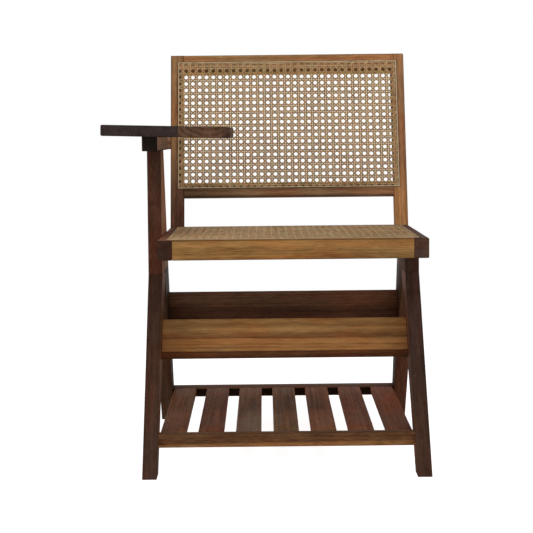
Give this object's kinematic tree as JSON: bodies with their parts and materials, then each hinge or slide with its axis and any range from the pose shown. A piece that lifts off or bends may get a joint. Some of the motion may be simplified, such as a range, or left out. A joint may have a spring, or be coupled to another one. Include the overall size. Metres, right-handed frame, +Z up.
{
  "type": "writing chair",
  "caption": "Hardwood writing chair with cane seat and back, compass-leg side frames, a fixed tablet arm, a book box under the seat and a slatted shelf.",
  "frame": {"origin": "on the floor, under the middle of the chair's bounding box", "axes": "+Z up; the sitter faces -Y; the tablet is on the -X side"},
  "size_m": [0.638, 0.6508, 0.8211],
  "materials": {
    "wood_dark": "dark oiled hardwood, satin, fine open grain",
    "wood_brown": "mid brown oiled hardwood, satin",
    "wood_golden": "golden brown oiled hardwood, satin, straight grain",
    "cane": "woven natural cane, glossy skin side out",
    "reed": "natural reed spline, matt",
    "dowel_wood": "plain beech dowels",
    "screw_steel": "zinc plated steel"
  },
  "bodies": {
    "root": {"seat_front_rail": "wood_golden", "seat_back_rail": "wood_brown", "seat_side_rail_left": "wood_dark", "seat_side_rail_right": "wood_dark", "seat_cane": "cane", "seat_spline": "reed", "back_post_left": "wood_brown", "back_post_right": "wood_brown", "back_top_rail": "wood_brown", "back_bottom_rail": "wood_golden", "back_cane": "cane", "back_spline": "reed", "arm_post_left": "wood_dark", "leg_head_right": "wood_dark", "front_leg_left": "wood_dark", "front_leg_right": "wood_dark", "rear_leg_left": "wood_dark", "rear_leg_right": "wood_dark", "arm_rail": "wood_dark", "tablet_outer_board": "wood_dark", "tablet_inner_board": "wood_brown", "tablet_screws": "screw_steel", "box_front_board": "wood_golden", "box_back_board": "wood_dark", "box_bottom_board": "wood_dark", "shelf_front_rail": "wood_golden", "shelf_rear_rail": "wood_dark", "shelf_slat_1": "wood_dark", "shelf_slat_2": "wood_dark", "shelf_slat_3": "wood_dark", "shelf_slat_4": "wood_dark", "shelf_slat_5": "wood_dark", "shelf_slat_6": "wood_dark", "shelf_slat_7": "wood_dark", "seat_frame_dowels": "dowel_wood", "back_frame_dowels": "dowel_wood", "side_frame_dowels_left": "dowel_wood", "side_frame_dowels_right": "dowel_wood", "arm_dowels": "dowel_wood", "book_box_dowels": "dowel_wood", "shelf_dowels": "dowel_wood"}
  },
  "joints": []
}
